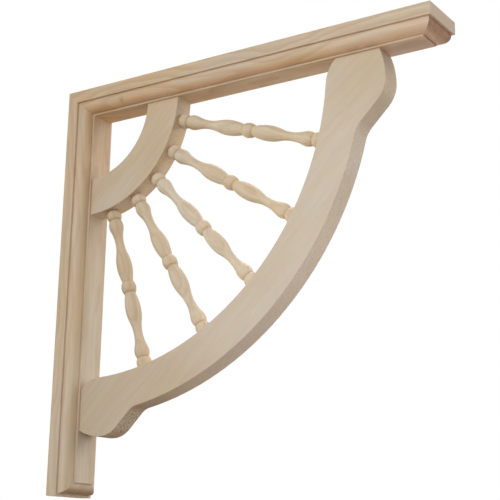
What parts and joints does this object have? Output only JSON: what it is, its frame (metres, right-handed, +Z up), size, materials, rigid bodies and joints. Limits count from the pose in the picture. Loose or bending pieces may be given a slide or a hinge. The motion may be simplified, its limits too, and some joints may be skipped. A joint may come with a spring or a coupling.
{
  "type": "wooden porch bracket",
  "caption": "Right-angled wooden porch bracket with moulded legs, a small corner arc, a large brace arc and turned spindles fanned between the arcs.",
  "frame": {"origin": "on the outer corner line where the wall face meets the top face, halfway across the width", "axes": "+X away from the wall along the top leg, +Z up out of the top face, Y across the width"},
  "size_m": [0.6096, 0.0762, 0.6096],
  "materials": {
    "leg_wood": "bare sanded hardwood",
    "arc_wood": "bare sanded hardwood",
    "spindle_wood": "bare turned hardwood",
    "dowel_wood": "bare fluted dowel stock"
  },
  "bodies": {
    "root": {"top_leg": "leg_wood", "wall_leg": "leg_wood", "hub_arc": "arc_wood", "brace_arc": "arc_wood", "spindle_1": "spindle_wood", "spindle_2": "spindle_wood", "spindle_3": "spindle_wood", "spindle_4": "spindle_wood", "spindle_5": "spindle_wood", "corner_dowels": "dowel_wood", "hub_dowels": "dowel_wood", "brace_dowels": "dowel_wood"}
  },
  "joints": []
}
